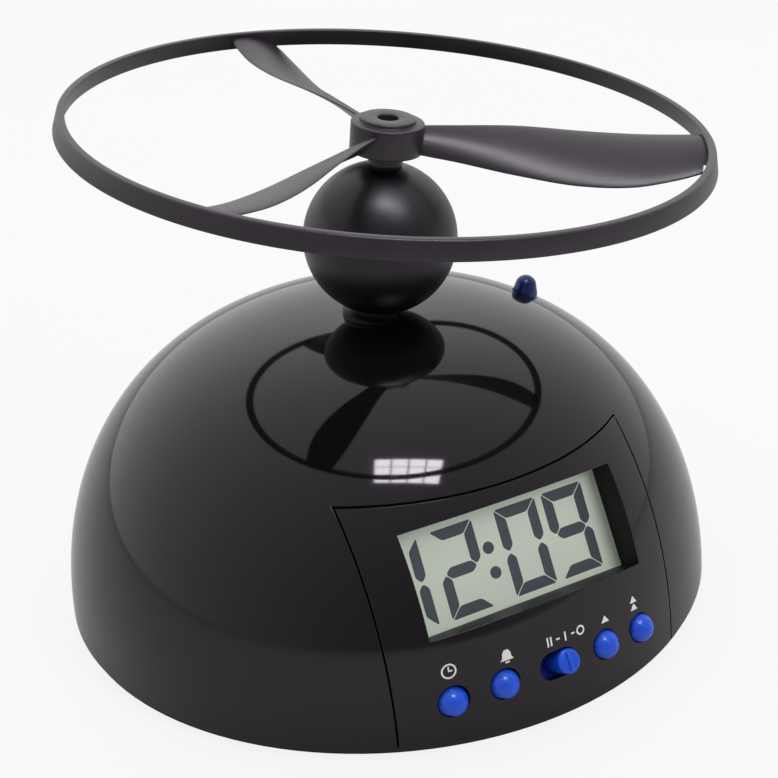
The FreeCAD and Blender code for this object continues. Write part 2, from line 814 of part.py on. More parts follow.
def gear(teeth, low, high, bore, x, y, tooth_heading):
    """A spur gear with one tooth pointing along tooth_heading, in degrees."""
    pitch = gear_module * teeth / 2
    base = pitch * math.cos(math.radians(gear_pressure_angle))
    tip = pitch + gear_module * gear_addendum
    root = pitch - gear_module * gear_dedendum
    half_tooth = math.pi / (2 * teeth) - gear_backlash / (2 * pitch)

    def involute(radius):
        ease = math.acos(min(base / radius, 1.0))
        return math.tan(ease) - ease

    start = max(root + sliver, base)
    radii = [start + (tip - start) * i / 3 for i in range(4)]
    flank = [(r, half_tooth + involute(pitch) - involute(r)) for r in radii]
    flank.insert(0, (root, flank[0][1]))
    points = []
    for i in range(teeth):
        middle = math.radians(tooth_heading) + 2 * math.pi * i / teeth
        for radius, turn in flank:
            points.append(V(x + radius * math.cos(middle - turn), y + radius * math.sin(middle - turn), low))
        for radius, turn in reversed(flank):
            points.append(V(x + radius * math.cos(middle + turn), y + radius * math.sin(middle + turn), low))
    face = Part.Face(Part.makePolygon(points + [points[0]]))
    body = face.extrude(V(0, 0, high - low))
    return body.cut(cylinder(bore, low - overcut, high + overcut, x, y))


# In mesh at rest: a tooth of one gear points at a gap of the next
small_low = gear_low
small_high = gear_low + gear_width + 2 * gear_step
large_high = small_high + gear_width * 0.7


def make_spindle_gear():
    low = gear_low + gear_step
    teeth = gear(spindle_teeth, low, low + gear_width, spindle_radius, 0, 0, idler_heading)
    high = low + gear_width
    hub = cylinder(spindle_radius + gear_hub_wall, high - weld, high + gear_hub_height)
    return on_launcher(joined([teeth, hub.cut(cylinder(spindle_radius, low, upper_plate))]))


def make_idler_gear():
    bore = idler_pin_radius + shaft_clearance
    gap = idler_heading + 180 + 180.0 / idler_small_teeth
    small = gear(idler_small_teeth, small_low, small_high + weld, bore, idler_x, idler_y, gap)
    large = gear(idler_large_teeth, small_high, large_high, bore, idler_x, idler_y, pinion_heading)
    return on_launcher(joined([small, large]))


def make_motor_pinion():
    gap = pinion_heading + 180 + 180.0 / pinion_teeth
    body = gear(pinion_teeth, small_high - gear_step, large_high + gear_step, motor_shaft_radius, pinion_x,
                pinion_y, gap)
    return on_launcher(body)


def make_motor_shaft():
    low = lower_plate - plate_thickness - motor_length / 2 + overcut
    return on_launcher(cylinder(motor_shaft_radius, low, large_high + 2 * gear_step, pinion_x, pinion_y))


def make_spindle_shaft():
    low = lower_plate - plate_thickness - bush_flange - spindle_tail
    return on_launcher(cylinder(spindle_radius, low, dog_low + dog_height + drive_nose - drive_cap))


def hexagon(flats, low, high):
    radius = flats / math.sqrt(3)
    points = [V(*polar(radius, 60 * i), low) for i in range(7)]
    return Part.Face(Part.makePolygon(points)).extrude(V(0, 0, high - low))


def make_drive_dog():
    shoulder = dog_low + dog_height
    body = joined([cylinder(dog_radius, dog_low, shoulder), hexagon(drive_flats, shoulder, shoulder + drive_nose)])
    bore = cylinder(spindle_radius, dog_low - overcut, shoulder + drive_nose - drive_cap)
    return on_launcher(body.cut(bore))


# Rotor: hub, three twisted blades and a flared ring, moulded in one piece

blade_stations = (
    # radius, width across the disc, pitch in degrees, height below the ring's middle; the radii stretch
    # to reach from the hub to the ring
    (6.0, 4.2, 46, 2.4),
    (14.0, 6.5, 39, 2.6),
    (25.0, 10.5, 31, 3.1),
    (36.0, 13.5, 25, 3.7),
    (46.0, 14.5, 21, 3.4),
    (54.0, 13.4, 18, 2.2),
    (59.9, 11.6, 16, 0.9),
)


def blade_section(radius, width, pitch, drop):
    """A thin cambered section that stands square to the blade's length, leading edge at +Y and up."""
    chord = width / math.cos(math.radians(pitch))
    edge = blade_edge / 2
    high = blade_camber * chord + blade_thickness / 2
    low = blade_camber * chord - blade_thickness / 2
    corners = [(-chord / 2, edge), (0, high), (chord / 2, edge), (chord / 2, -edge), (0, low), (-chord / 2, -edge)]
    turn = math.radians(pitch)
    spots = []
    for along, up in corners:
        y = along * math.cos(turn) - up * math.sin(turn)
        z = along * math.sin(turn) + up * math.cos(turn)
        spots.append(V(radius, y, ring_middle - drop + z))
    lines = [Part.Arc(spots[0], spots[1], spots[2]).toShape(), Part.makeLine(spots[2], spots[3])]
    lines += [Part.Arc(spots[3], spots[4], spots[5]).toShape(), Part.makeLine(spots[5], spots[0])]
    return Part.Wire(lines)


def blade_solid():
    first, last = blade_stations[0][0], blade_stations[-1][0]
    root = hub_radius - blade_in_hub
    stretch = (ring_top_radius - blade_in_ring - root) / (last - first)
    sections = [blade_section(root + (radius - first) * stretch, width, pitch, drop)
                for radius, width, pitch, drop in blade_stations]
    return Part.makeLoft(sections, True, False)


def make_rotor():
    low = ring_middle - ring_height / 2
    high = ring_middle + ring_height / 2
    outline = [V(ring_top_radius - ring_wall, 0, high), V(ring_top_radius, 0, high)]
    outline += [V(ring_top_radius + ring_flare, 0, low), V(ring_top_radius + ring_flare - ring_wall, 0, low)]
    ring = Part.Face(Part.makePolygon(outline + [outline[0]])).revolve(V(0, 0, 0), V(0, 0, 1), 360)
    hub_high = hub_low + hub_height
    barrel = cylinder(hub_radius, hub_low, hub_high)
    cap = cylinder(hub_cap_radius, hub_high - weld, hub_high + hub_cap_height)
    blade = blade_solid().common(cylinder(ring_top_radius - ring_wall / 2, 0, 2 * ring_middle))
    blades = []
    for i in range(blade_count):
        copy = blade.copy()
        copy.rotate(V(0, 0, 0), V(0, 0, 1), blade_heading + 360.0 * i / blade_count)
        blades.append(copy)
    body = barrel.fuse([cap, ring] + blades)
    trim = cylinder(ring_top_radius + ring_flare, low - ring_height, low)
    body = body.cut(trim.cut(cylinder(ring_top_radius - ring_wall - fit_clearance, low - ring_height, low)))
    socket_top = dog_low + dog_height + drive_nose + drive_room
    body = body.cut(hexagon(drive_flats + 2 * fit_clearance, hub_low - overcut, socket_top))
    return on_launcher(body.cut(cylinder(hub_hole_radius, hub_low, hub_high + hub_cap_height + overcut)))


os.makedirs("parts", exist_ok=True)
save("dome_housing", make_dome_housing())
save("front_fascia", make_front_fascia())
save("lcd_glass", make_lcd_glass())
save("lcd_frame", make_lcd_frame())
save("contact_strip", make_contact_strip())
save("main_board", make_main_board())
save("key_switches", make_key_switches())
save("slide_switch", make_slide_switch())
save("board_screws", make_board_screws())
for key_name, key_x in keys.items():
    save(key_name + "_button", make_key(key_x))
save("mode_knob", make_mode_knob())
save("launch_button", make_launch_key())
save("launch_board", make_launch_board())
save("launch_switch", make_launch_switch())
save("base_cover", make_base_cover())
save("base_screws", make_base_screws())
save("rubber_feet", make_rubber_feet())
save("battery_door", make_battery_door())
save("battery_cells", make_battery_cells())
save("battery_contacts", make_battery_contacts())
save("buzzer", make_buzzer())
save("neck", make_neck())
save("ball", make_ball())
save("spindle_bushes", make_bushes())
save("upper_plate", make_upper_plate())
save("lower_plate", make_lower_plate())
save("launcher_screws", make_launcher_screws())
save("idler_pin", make_idler_pin())
save("motor", make_motor())
save("motor_shaft", make_motor_shaft())
save("motor_pinion", make_motor_pinion())
save("idler_gear", make_idler_gear())
save("spindle_gear", make_spindle_gear())
save("spindle_shaft", make_spindle_shaft())
save("drive_dog", make_drive_dog())
save("rotor", make_rotor())
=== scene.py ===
import math

import bmesh
import bpy
from mathutils import Matrix, Vector


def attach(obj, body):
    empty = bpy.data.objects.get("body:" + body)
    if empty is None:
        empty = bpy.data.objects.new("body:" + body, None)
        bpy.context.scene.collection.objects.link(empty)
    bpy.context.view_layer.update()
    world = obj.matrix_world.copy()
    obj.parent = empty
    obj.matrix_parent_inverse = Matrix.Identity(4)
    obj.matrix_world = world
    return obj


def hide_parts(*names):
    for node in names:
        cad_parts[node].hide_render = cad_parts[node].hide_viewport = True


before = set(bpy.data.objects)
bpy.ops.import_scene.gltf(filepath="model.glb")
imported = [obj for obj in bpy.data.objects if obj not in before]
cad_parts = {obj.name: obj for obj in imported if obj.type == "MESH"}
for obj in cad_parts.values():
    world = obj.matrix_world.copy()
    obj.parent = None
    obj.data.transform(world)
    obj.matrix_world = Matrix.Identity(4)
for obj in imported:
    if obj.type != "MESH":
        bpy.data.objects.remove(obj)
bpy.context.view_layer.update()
scene = bpy.context.scene
scene.view_settings.view_transform = "Standard"


# The viewpoint: a hand-held camera a third of a metre away, looking down on the clock from its
# front left. It is tilted a little, as in the photograph.

camera_place = Vector((-0.1401, -0.2771, 0.1909))
camera_azimuth = math.radians(-27.4)
camera_drop = math.radians(25.71)
camera_tilt = math.radians(-4.15)
camera_lens = 78.66

camera_data = bpy.data.cameras.new("camera")
camera_data.lens = camera_lens
camera_data.sensor_width = 36.0
camera = bpy.data.objects.new("camera", camera_data)
scene.collection.objects.link(camera)
camera.matrix_world = (Matrix.Translation(camera_place) @ Matrix.Rotation(camera_azimuth, 4, "Z")
                       @ Matrix.Rotation(math.pi / 2 - camera_drop, 4, "X")
                       @ Matrix.Rotation(camera_tilt, 4, "Z"))
scene.camera = camera


# Materials: every finish is a small set of nodes over the shader, built with the class below.

class Field:
    """A value over a surface: one shader socket, on which Python's operators add Math nodes."""

    def __init__(self, tree, socket=None):
        self.tree = tree
        self.socket = socket

    def node(self, kind, settings=None, inputs=None, output=0):
        """Adds a node. Its settings are set first, then its sockets get numbers, colours or fields."""
        made = self.tree.nodes.new(kind)
        for name, value in (settings or {}).items():
            setattr(made, name, value)
        for name, value in (inputs or {}).items():
            if isinstance(value, Field):
                self.tree.links.new(value.socket, made.inputs[name])
            else:
                made.inputs[name].default_value = value
        return Field(self.tree, made.outputs[output])

    def math(self, operation, first, second=0.0):
        return self.node("ShaderNodeMath", {"operation": operation}, {0: first, 1: second})

    def __add__(self, other):
        return self.math("ADD", self, other)

    def __radd__(self, other):
        return self.math("ADD", other, self)

    def __sub__(self, other):
        return self.math("SUBTRACT", self, other)

    def __rsub__(self, other):
        return self.math("SUBTRACT", other, self)

    def __mul__(self, other):
        return self.math("MULTIPLY", self, other)

    def noise(self, scale, detail=2.0):
        """Soft random grain, from 0 to 1, at so many grains to the metre."""
        return self.node("ShaderNodeTexNoise", {}, {"Vector": self, "Scale": scale, "Detail": detail}, "Fac")

    def spots(self, scale, size):
        """Scattered round specks, 1 inside a speck and 0 outside it."""
        cells = self.node("ShaderNodeTexVoronoi", {}, {"Vector": self, "Scale": scale}, "Distance")
        return cells.math("LESS_THAN", cells, size)

    def tint(self, first, second):
        """A colour that runs from first to second as this field runs from 0 to 1."""
        ends = {0: self, 6: (*first, 1.0), 7: (*second, 1.0)}
        return self.node("ShaderNodeMix", {"data_type": "RGBA"}, ends, 2)

    def bump(self, depth, strength=1.0):
        inputs = {"Strength": strength, "Distance": depth, "Height": self}
        return self.node("ShaderNodeBump", {}, inputs, "Normal")

    def feed(self, shader, socket):
        self.tree.links.new(self.socket, shader.inputs[socket])


def finish(name, **settings):
    """A new material: its uniform settings are set on the shader. Gives the material, shader and place."""
    material = bpy.data.materials.new(name)
    material.use_nodes = True
    shader = material.node_tree.nodes["Principled BSDF"]
    for socket, value in settings.items():
        shader.inputs[socket.replace("_", " ")].default_value = value
    place = Field(material.node_tree).node("ShaderNodeTexCoord", output="Object")
    return material, shader, place


def moulded(name, colour, roughness, grain, depth, contrast=0.25, **settings):
    """Moulded plastic or rubber: a fine grain in its surface, and a little clouding of colour and sheen."""
    material, shader, place = finish(name, **settings)
    fine = place.noise(grain, 3.0)
    cloud = place.noise(90.0, 2.0)
    pale = [min(1.0, c * (1 + contrast)) for c in colour]
    dark = [c * (1 - contrast) for c in colour]
    cloud.tint(dark, pale).feed(shader, "Base Color")
    (roughness - 0.06 + cloud * 0.08 + fine * 0.04).feed(shader, "Roughness")
    fine.bump(depth).feed(shader, "Normal")
    return material


def dress(node, material):
    """Gives a CAD node its material."""
    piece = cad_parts[node]
    piece.data.materials.clear()
    piece.data.materials.append(material)


# Base cover, battery door and feet: injection-moulded black plastic with a fine spark-eroded
# texture. The cover closes the dome from below with four screws, and four rubber pads are glued in.
# The launcher's two plates are the same plastic.

base_plastic = moulded("base_plastic", (0.012, 0.011, 0.013), 0.5, 2600.0, 0.00003)
foot_rubber = moulded("foot_rubber", (0.02, 0.02, 0.021), 0.8, 1500.0, 0.00005)
dress("base_cover", base_plastic)
dress("battery_door", base_plastic)
dress("upper_plate", base_plastic)
dress("lower_plate", base_plastic)
dress("rubber_feet", foot_rubber)


# Screws, pins, shafts and the motor's can: zinc-plated steel, rolled or drawn, so it shows fine streaks.
# The contacts are nickel-plated, the pinion and the buzzer brass, and the bushes dark oiled bronze.

def metal(name, colour, roughness, streak=(400.0, 400.0, 6000.0)):
    """Drawn or rolled metal with streaks that run across the clock's height."""
    material, shader, place = finish(name, Metallic=1.0)
    stretched = place.node("ShaderNodeMapping", {}, {"Vector": place, "Scale": streak})
    lines = stretched.noise(1.0, 4.0)
    lines.tint([c * 0.8 for c in colour], colour).feed(shader, "Base Color")
    (roughness - 0.08 + lines * 0.16).feed(shader, "Roughness")
    lines.bump(0.00001).feed(shader, "Normal")
    return material


steel = metal("plated_steel", (0.62, 0.62, 0.64), 0.34)
for node in ("base_screws", "board_screws", "launcher_screws", "idler_pin", "spindle_shaft", "motor_shaft",
             "slide_switch"):
    dress(node, steel)
dress("motor", metal("drawn_can", (0.66, 0.66, 0.68), 0.28, (6000.0, 6000.0, 300.0)))
dress("battery_contacts", metal("nickel_plate", (0.78, 0.76, 0.72), 0.22))
brass = metal("turned_brass", (0.78, 0.58, 0.27), 0.3)
dress("motor_pinion", brass)
dress("buzzer", brass)
dress("spindle_bushes", metal("oiled_bronze", (0.075, 0.055, 0.04), 0.5))


# Batteries: four AAA cells in plain printed sleeves of shrink film, over a steel can.

label_end = 0.028


def sleeve():
    """A dark shrink film with a silver band at the end that lies towards the back."""
    material, shader, place = finish("cell_sleeve", Roughness=0.3, Coat_Weight=0.4, Coat_Roughness=0.12)
    along = place.node("ShaderNodeSeparateXYZ", {}, {0: place}, "Y")
    band = along.math("GREATER_THAN", along, label_end)
    band.tint((0.06, 0.065, 0.075), (0.62, 0.63, 0.65)).feed(shader, "Base Color")
    place.noise(700.0).bump(0.00001).feed(shader, "Normal")
    return material


dress("battery_cells", sleeve())


# Circuit boards and switches: green solder mask over glass-fibre laminate, black moulded switch
# bodies, the display's black carrier and the striped elastomer strip that feeds the display.

def solder_mask():
    """Green lacquer with paler copper tracks that stand up a little under it."""
    material, shader, place = finish("solder_mask", Roughness=0.35, Coat_Weight=0.5, Coat_Roughness=0.15)
    cells = place.node("ShaderNodeTexVoronoi", {"feature": "DISTANCE_TO_EDGE"},
                       {"Vector": place, "Scale": 260.0})
    tracks = cells.math("LESS_THAN", cells, 0.06)
    tracks.tint((0.010, 0.085, 0.035), (0.02, 0.16, 0.06)).feed(shader, "Base Color")
    tracks.bump(0.00003).feed(shader, "Normal")
    return material


stripe_width = 0.0001


def striped_elastomer():
    """Conductive and plain rubber in turn, in stripes a tenth of a millimetre wide."""
    material, shader, place = finish("striped_elastomer", Roughness=0.6)
    across = place.node("ShaderNodeSeparateXYZ", {}, {0: place}, "X")
    stripes = across.math("PINGPONG", across, stripe_width) * (1 / stripe_width)
    stripes.tint((0.55, 0.54, 0.55), (0.03, 0.03, 0.03)).feed(shader, "Base Color")
    return material


board = solder_mask()
dress("main_board", board)
dress("launch_board", board)
switch_plastic = moulded("switch_plastic", (0.02, 0.02, 0.022), 0.45, 2000.0, 0.00002)
dress("key_switches", switch_plastic)
dress("launch_switch", switch_plastic)
dress("lcd_frame", switch_plastic)
dress("contact_strip", striped_elastomer())


# Gear train: natural acetal, which is milky white and a little waxy, with brass for the pinion.

acetal = moulded("acetal", (0.78, 0.76, 0.70), 0.38, 1200.0, 0.00001, 0.04, Subsurface_Weight=0.15,
                 Subsurface_Radius=(0.001, 0.001, 0.0008))
for node in ("spindle_gear", "idler_gear"):
    dress(node, acetal)


# Dome housing: a glossy black moulding, 2.2 mm thick, polished in the mould. Its wall is turned from
# the superellipse of the outline, then the front panel's opening and two round holes are cut out.

foot_proud = 1.0
rim_top = 2.2
dome_radius = 66.0
dome_height = 59.0
crown_power = 2.56
side_power = 2.08
wall = 2.2
panel_half = 30.2
panel_top = 43.1
seam = 0.35
neck_hole = 4.7
launch_hole = 2.8
around = 256
merge_distance = 0.0005
to_metres = 0.001


def turned(points, steps=128, closed=False):
    """Spins an outline of (radius, height) points about the Z axis."""
    form = bmesh.new()
    spots = [form.verts.new((radius, 0, height)) for radius, height in points]
    for first, second in zip(spots, spots[1:] + spots[:1] if closed else spots[1:]):
        form.edges.new((first, second))
    bmesh.ops.spin(form, geom=form.verts[:] + form.edges[:], cent=(0, 0, 0), axis=(0, 0, 1),
                   angle=2 * math.pi, steps=steps, use_merge=True)
    bmesh.ops.remove_doubles(form, verts=form.verts, dist=merge_distance)
    bmesh.ops.recalc_face_normals(form, faces=form.faces)
    return form


def soften(form, offset, segments=3, angle=35.0):
    """Rounds the sharp edges of a form."""
    limit = math.radians(angle)
    sharp = [e for e in form.edges if len(e.link_faces) == 2 and e.calc_face_angle() > limit]
    bmesh.ops.bevel(form, geom=sharp, offset=offset, offset_type="OFFSET", segments=segments, profile=0.5,
                    affect="EDGES", material=-1, clamp_overlap=True)
    return form


def moved(form, matrix):
    bmesh.ops.transform(form, matrix=matrix, verts=form.verts)
    return form


def slab(low, high):
    """A plain block between two corners."""
    form = bmesh.new()
    bmesh.ops.create_cube(form, size=1.0)
    low, high = Vector(low), Vector(high)
    size = high - low
    return moved(form, Matrix.Translation((low + high) / 2) @ Matrix.Diagonal((*size, 1.0)))


def rod(radius, low, high, steps=64):
    return turned([(0, low), (radius, low), (radius, high), (0, high)], steps)


def as_object(name, form, scale=1.0):
    bmesh.ops.scale(form, vec=(scale,) * 3, verts=form.verts)
    mesh = bpy.data.meshes.new(name)
    form.to_mesh(mesh)
    form.free()
    made = bpy.data.objects.new(name, mesh)
    scene.collection.objects.link(made)
    return made


def carved(form, tools, operation="DIFFERENCE"):
    """Cuts a form with other forms, or keeps what they share, or joins them to it."""
    body = as_object("carving", form)
    cutters = [as_object("cutter", tool) for tool in tools]
    for cutter in cutters:
        cut = body.modifiers.new("cut", "BOOLEAN")
        cut.operation = operation
        cut.solver = "EXACT"
        cut.object = cutter
    result = bpy.data.meshes.new_from_object(body.evaluated_get(bpy.context.evaluated_depsgraph_get()))
    out = bmesh.new()
    out.from_mesh(result)
    for spare in [body] + cutters:
        bpy.data.objects.remove(spare)
    return out


def piece(name, form, material, body, slot, stands_for=(), crease=38.0):
    """Finishes a form, drawn in millimetres, as a piece that rides on its body."""
    made = as_object(name, form, to_metres)
    made.data.shade_smooth()
    made.data.set_sharp_from_angle(angle=math.radians(crease))
    made.data.materials.append(material)
    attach(made, body)
    if stands_for:
        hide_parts(*stands_for)
    return made


def dome_outline(inset, low, count):
    """The dome's outline from a height near the rim up to the crown."""
    start = math.asin(((low - foot_proud) / (dome_height - inset)) ** (side_power / 2))
    points = []
    for i in range(count + 1):
        turn = start + (math.pi / 2 - start) * i / count
        radius = (dome_radius - inset) * max(math.cos(turn), 0.0) ** (2 / crown_power)
        height = foot_proud + (dome_height - inset) * math.sin(turn) ** (2 / side_power)
        points.append((radius if i < count else 0.0, height))
    return points


def dome_shell():
    outside = dome_outline(0.0, rim_top, 72)
    inside = dome_outline(wall, rim_top, 36)
    return turned(outside[::-1] + inside, around)


on_skin_share = 0.004
facing_skin = 0.94


def skin_normals(made):
    """Gives the outer skin the exact normals of the dome, so that reflections run clean across the cuts."""
    mesh = made.data
    wanted = [Vector((0, 0, 0))] * len(mesh.loops)
    for face in mesh.polygons:
        for index in face.loop_indices:
            spot = mesh.vertices[mesh.loops[index].vertex_index].co / to_metres
            radius = math.hypot(spot.x, spot.y)
            side = max(radius, 0.001) / dome_radius
            height = max(spot.z - foot_proud, 0.0) / dome_height
            if abs(side ** crown_power + height ** side_power - 1) > on_skin_share:
                continue
            out = crown_power / dome_radius * side ** (crown_power - 1)
            up = side_power / dome_height * height ** (side_power - 1)
            away = out / max(radius, 0.001)
            normal = Vector((spot.x * away, spot.y * away, up)).normalized()
            if normal.dot(face.normal) > facing_skin:
                wanted[index] = normal
    mesh.normals_split_custom_set(wanted)


def panel_zone(grow):
    half = panel_half + grow
    return slab((-half, -2 * dome_radius, -10), (half, -0.3 * dome_radius, panel_top + grow))


lean_heading = math.radians(-38.0)
lean = Matrix.Rotation(math.radians(7.5), 4, (-math.sin(lean_heading), math.cos(lean_heading), 0))
on_launcher = Matrix.Translation((0, -3.4, foot_proud + dome_height)) @ lean
launch_x = 37.0
launch_share = 1 - (launch_x / dome_radius) ** crown_power
launch_height = foot_proud + dome_height * launch_share ** (1 / side_power)
on_launch = Matrix.Translation((launch_x, 0, launch_height)) @ Matrix.Rotation(math.radians(10.0), 4, "Y")


def gloss_black():
    """Polished black plastic with a slow ripple, a little dust and edges that catch the light."""
    material, shader, place = finish("gloss_black", Specular_IOR_Level=0.5, IOR=1.49,
                                     Specular_Tint=(1.0, 0.90, 1.0, 1.0))
    cloud = place.noise(30.0, 3.0)
    dust = place.spots(420.0, 0.035)
    shade = cloud * 0.5 + dust * 0.5
    shade.tint((0.0030, 0.0024, 0.0032), (0.0065, 0.0058, 0.0070)).feed(shader, "Base Color")
    (0.035 + cloud * 0.05 + dust * 0.25).feed(shader, "Roughness")
    rounded = place.node("ShaderNodeBevel", {"samples": 4}, {"Radius": 0.00025})
    ripple = place.noise(55.0, 1.0) + dust * 0.05
    inputs = {"Strength": 0.6, "Distance": 0.00003, "Height": ripple, "Normal": rounded}
    ripple.node("ShaderNodeBump", {}, inputs, "Normal").feed(shader, "Normal")
    return material


gloss = gloss_black()
holes = [panel_zone(seam / 2), moved(rod(neck_hole, -12, 14), on_launcher),
         moved(rod(launch_hole, -8, 6), on_launch)]
housing = carved(dome_shell(), holes)
dome = piece("dome_skin", housing, gloss, "clock_body", "dome_gloss", ["dome_housing"])
skin_normals(dome)


# Front panel: a second moulding in the same glossy black, clipped into the dome with a fine dark seam.
# A sloping window is sunk into it in front of the display, over round holes and a slot for the controls.

on_face = Matrix.Rotation(math.radians(90.0 - 29.0), 4, "X")
window_half = 22.5
window_low = -9.3
window_high = 10.2
glass_front = 55.8
tunnel = 1.4
key_row = -20.9
key_spots = {"time": -20.25, "alarm": -10.8, "hour": 10.8, "minute": 20.25}
key_radius = 2.6
knob_radius = 2.3
knob_travel = 3.0
hole_ease = 0.2
beyond_skin = 90
behind_panel = 40


def skin_depth(x, row):
    """How far along the sloping face's normal the dome's skin lies."""
    low, high = 0.0, 2 * dome_radius
    for _ in range(40):
        depth = (low + high) / 2
        spot = on_face @ Vector((x, row, depth))
        side = math.hypot(spot.x, spot.y) / dome_radius
        height = max(spot.z - foot_proud, 0.0) / dome_height
        if side ** crown_power + height ** side_power < 1:
            low = depth
        else:
            high = depth
    return low


def front_panel():
    """The part of the dome's skin that is the panel, with the window's tunnel joined to it."""
    form = carved(dome_shell(), [panel_zone(-seam / 2)], "INTERSECT")
    frame_block = moved(slab((-window_half - tunnel, window_low - tunnel, glass_front),
                             (window_half + tunnel, window_high + tunnel, beyond_skin)), on_face)
    solid_dome = turned([(0, rim_top)] + dome_outline(0.6, rim_top, 48), 128)
    form = carved(form, [carved(frame_block, [solid_dome], "INTERSECT")], "UNION")
    cuts = [slab((-window_half, window_low, 0), (window_half, window_high, beyond_skin))]
    reach = knob_radius + hole_ease
    round_holes = [(x, key_radius + hole_ease) for x in key_spots.values()]
    round_holes += [(-knob_travel / 2, reach), (knob_travel / 2, reach)]
    for x, radius in round_holes:
        cuts.append(moved(rod(radius, behind_panel, beyond_skin), Matrix.Translation((x, key_row, 0))))
    cuts.append(slab((-knob_travel / 2, key_row - reach, behind_panel),
                     (knob_travel / 2, key_row + reach, beyond_skin)))
    return carved(form, [moved(cut, on_face) for cut in cuts])


panel = piece("front_panel", front_panel(), gloss, "clock_body", "dome_gloss", ["front_fascia"])
skin_normals(panel)

# The window's sunk walls are left matt.
panel.data.materials.append(moulded("window_black", (0.0028, 0.0025, 0.0028), 0.5, 2400.0, 0.00001, 0.2,
                                     Specular_IOR_Level=0.2))
for face in panel.data.polygons:
    spot = on_face.inverted() @ (face.center / to_metres)
    sunk = glass_front < spot.z < skin_depth(spot.x, spot.y) - 0.2
    if sunk and abs(spot.x) < window_half + 0.1 and window_low - 0.1 < spot.y < window_high + 0.1:
        face.material_index = 1


# Display: a reflective liquid-crystal cell behind its own cover film, pale grey-green, with dark
# seven-bar figures printed by the crystal. The bars are slanted and mitred where they meet.

def crystal():
    material, shader, place = finish("crystal", Specular_IOR_Level=0.5, Coat_Weight=0.6, Coat_Roughness=0.04)
    cloud = place.noise(45.0, 2.0)
    cloud.tint((0.74, 0.835, 0.69), (0.79, 0.885, 0.74)).feed(shader, "Base Color")
    (0.28 + place.noise(4000.0, 2.0) * 0.1).feed(shader, "Roughness")
    return material


dress("lcd_glass", crystal())

figure_height = 8.2
figure_half = 4.45
bar = 2.1
mitre = 0.13
slant = 0.022
bar_rise = 0.06
figure_bars = {"1": "bc", "2": "abged", "0": "abcdef", "9": "abcdfg"}
figure_places = (("1", -21.2), ("2", -9.6), ("0", 4.15), ("9", 14.5))
figure_row = 0.1
colon_place = -3.2
colon_rows = (2.2, -2.5)
colon_radius = 1.15
corner_ease = 0.45


def bar_outline(letter):
    """The corners of one bar of a seven-bar figure, round the figure's middle."""
    half, top, gap = figure_half, figure_height, mitre
    across = [(-half + gap, top), (half - gap, top), (half - bar - gap, top - bar),
              (-half + bar + gap, top - bar)]
    upright = [(-half, top - gap), (-half + bar, top - bar - gap), (-half + bar, bar / 2 + gap),
               (-half + bar / 2, gap), (-half, bar / 2 + gap)]
    middle = [(-half + bar / 2 + gap, 0), (-half + bar + gap, bar / 2), (half - bar - gap, bar / 2),
              (half - bar / 2 - gap, 0), (half - bar - gap, -bar / 2), (-half + bar + gap, -bar / 2)]
    bars = {"a": across, "f": upright, "g": middle,
            "b": [(-x, y) for x, y in upright],
            "c": [(-x, -y) for x, y in upright],
            "d": [(x, -y) for x, y in across],
            "e": [(x, -y) for x, y in upright]}
    return bars[letter]


def raised(form, outline, low, rise):
    """Adds a thin flat plate with this outline to a form, with its corners eased."""
    before = set(form.faces)
    spots = [form.verts.new((x, y, low)) for x, y in outline]
    form.faces.new(spots)
    bmesh.ops.bevel(form, geom=spots, offset=corner_ease, offset_type="OFFSET", segments=4, profile=0.5,
                    affect="VERTICES", material=-1, clamp_overlap=True)
    lifted = bmesh.ops.extrude_face_region(form, geom=[f for f in form.faces if f not in before])
    upper = [v for v in lifted["geom"] if isinstance(v, bmesh.types.BMVert)]
    bmesh.ops.translate(form, vec=(0, 0, rise), verts=upper)


def figures():
    """The four figures and the colon between them, on the face of the glass."""
    form = bmesh.new()
    low = glass_front - bar_rise / 2
    for figure, place in figure_places:
        for letter in figure_bars[figure]:
            outline = [(x + place + slant * y, y + figure_row) for x, y in bar_outline(letter)]
            raised(form, outline, low, bar_rise)
    for row in colon_rows:
        turns = [math.radians(a) for a in range(0, 360, 15)]
        outline = [(colon_place + colon_radius * math.cos(turn), row + colon_radius * math.sin(turn))
                   for turn in turns]
        raised(form, outline, low, bar_rise)
    bmesh.ops.recalc_face_normals(form, faces=form.faces)
    return moved(form, on_face)


figure_ink = moulded("figure_ink", (0.075, 0.085, 0.105), 0.35, 3000.0, 0.000002, 0.1)
piece("display_figures", figures(), figure_ink, "clock_body", "display")


# Buttons: four domed blue caps on stems, trapped behind the panel by a flange, in glossy ABS. The
# mode knob is a round pad with a ridge on a curtain plate, and the launch button tapers to its tip.

def blue_gloss(name, colour):
    material, shader, place = finish(name, Specular_IOR_Level=0.5, Subsurface_Weight=0.05,
                                     Subsurface_Radius=(0.0003, 0.0005, 0.0012))
    cloud = place.noise(400.0, 2.0)
    cloud.tint([c * 0.85 for c in colour], colour).feed(shader, "Base Color")
    (0.2 + place.noise(1500.0, 3.0) * 0.12).feed(shader, "Roughness")
    place.noise(900.0, 2.0).bump(0.00001).feed(shader, "Normal")
    return material


def domed(radius, shoulder, rise, count=10):
    """Outline of a domed end, from its edge up to the axis."""
    ball = (radius * radius + rise * rise) / (2 * rise)
    edge = math.asin(radius / ball)
    points = []
    for i in range(count + 1):
        turn = edge * (1 - i / count)
        points.append((ball * math.sin(turn), shoulder + rise - ball * (1 - math.cos(turn))))
    points[-1] = (0.0, shoulder + rise)
    return points


